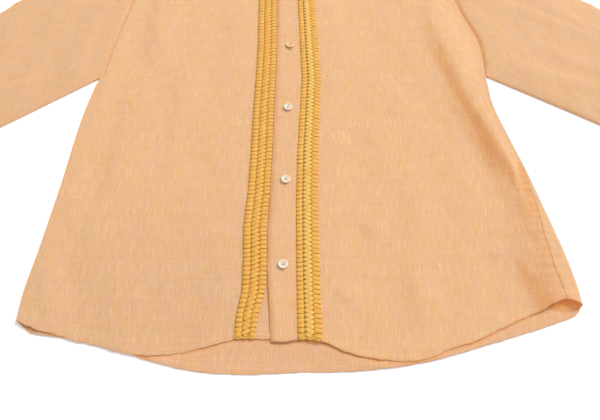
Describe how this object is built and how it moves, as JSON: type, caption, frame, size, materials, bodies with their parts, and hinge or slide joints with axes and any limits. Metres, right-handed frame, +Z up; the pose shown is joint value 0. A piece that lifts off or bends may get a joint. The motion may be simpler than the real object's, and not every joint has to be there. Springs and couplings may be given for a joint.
{
  "type": "linen shirt",
  "caption": "Long-sleeved linen shirt with a buttoned front, a plaited braid band on each side of the closing and a shirt-tail hem, laid flat on its back.",
  "frame": {"origin": "on the surface that the shirt lies on, below the middle of its bounding box", "axes": "+X to the wearer's left along the outspread sleeves, +Y from the hem to the neck, +Z up out of the surface, from the back panel to the fronts"},
  "size_m": [1.3912, 0.7576, 0.0095],
  "materials": {
    "linen": "plain-woven peach linen, matt, with slubs",
    "braid": "thick mustard-yellow yarn plaited in three columns",
    "button": "polished cream shell, four thread holes"
  },
  "bodies": {
    "root": {"back": "linen", "front_right": "linen", "front_left": "linen", "placket": "linen", "sleeve_right": "linen", "sleeve_left": "linen", "neckband": "linen", "braid_right": "braid", "braid_left": "braid", "button_1": "button", "button_2": "button", "button_3": "button", "button_4": "button", "button_5": "button", "button_neck": "button"}
  },
  "joints": []
}
